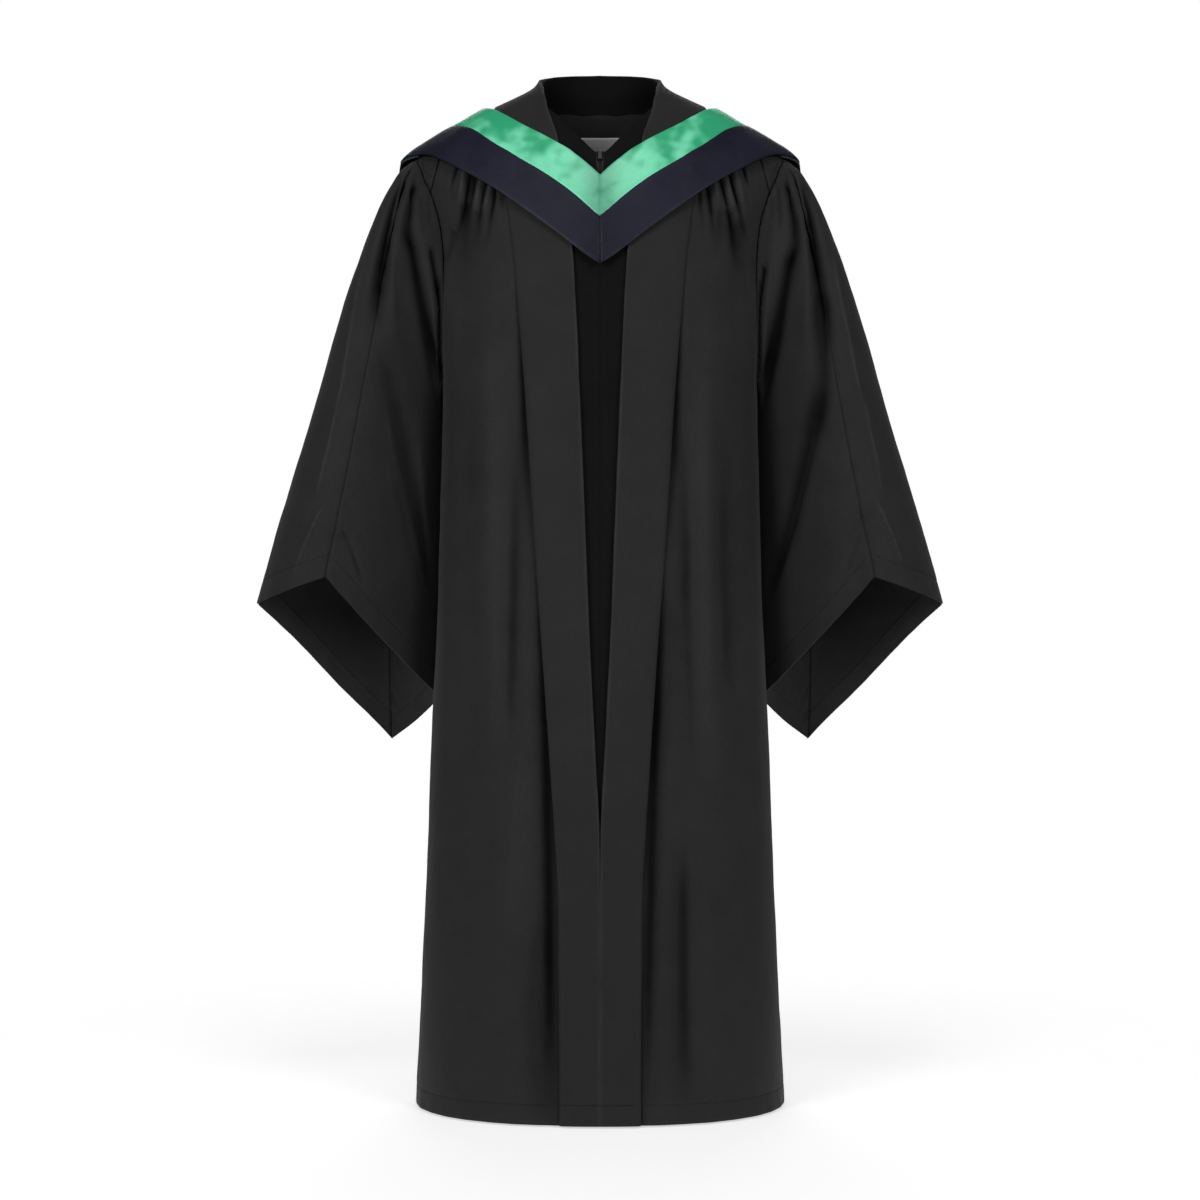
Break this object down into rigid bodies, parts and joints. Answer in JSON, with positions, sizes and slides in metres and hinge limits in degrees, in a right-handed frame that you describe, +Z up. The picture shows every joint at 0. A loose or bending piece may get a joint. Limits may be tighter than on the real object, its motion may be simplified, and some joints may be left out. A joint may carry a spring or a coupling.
{
  "type": "graduation gown with hood",
  "caption": "Full-length black gown with wide bell sleeves, front bands and a zipped inner front, held as worn, with a V-shaped two-band hood over its shoulders.",
  "frame": {"origin": "middle of the wearer's shoulder line, level with the base of the neck, where the gown is held up", "axes": "+Z up, -Y towards the front of the gown, +X towards the wearer's left"},
  "size_m": [0.7932, 0.3199, 1.1993],
  "materials": {
    "gown": "matt black twill",
    "bands": "matt black twill, stiffened",
    "inner_front": "dull black twill",
    "zip_tape": "black woven tape with a closed coil",
    "zip_slider": "black enamel",
    "label": "plain grey woven label, blank",
    "hood_trim": "green satin",
    "hood_band": "navy satin"
  },
  "bodies": {
    "root": {"front_panel_left": "gown", "front_panel_right": "gown", "front_yoke_left": "gown", "front_yoke_right": "gown", "back_panel": "gown", "back_yoke": "gown", "sleeve_outer_left": "gown", "sleeve_outer_right": "gown", "sleeve_inner_left": "gown", "sleeve_inner_right": "gown", "front_band_left": "bands", "front_band_right": "bands", "collar": "bands", "zip_panel_left": "inner_front", "zip_panel_right": "inner_front", "zip_tape": "zip_tape", "zip_slider": "zip_slider", "label": "label", "hood_trim_left": "hood_trim", "hood_trim_right": "hood_trim", "hood_band_left": "hood_band", "hood_band_right": "hood_band", "hood_back": "hood_band"}
  },
  "joints": []
}
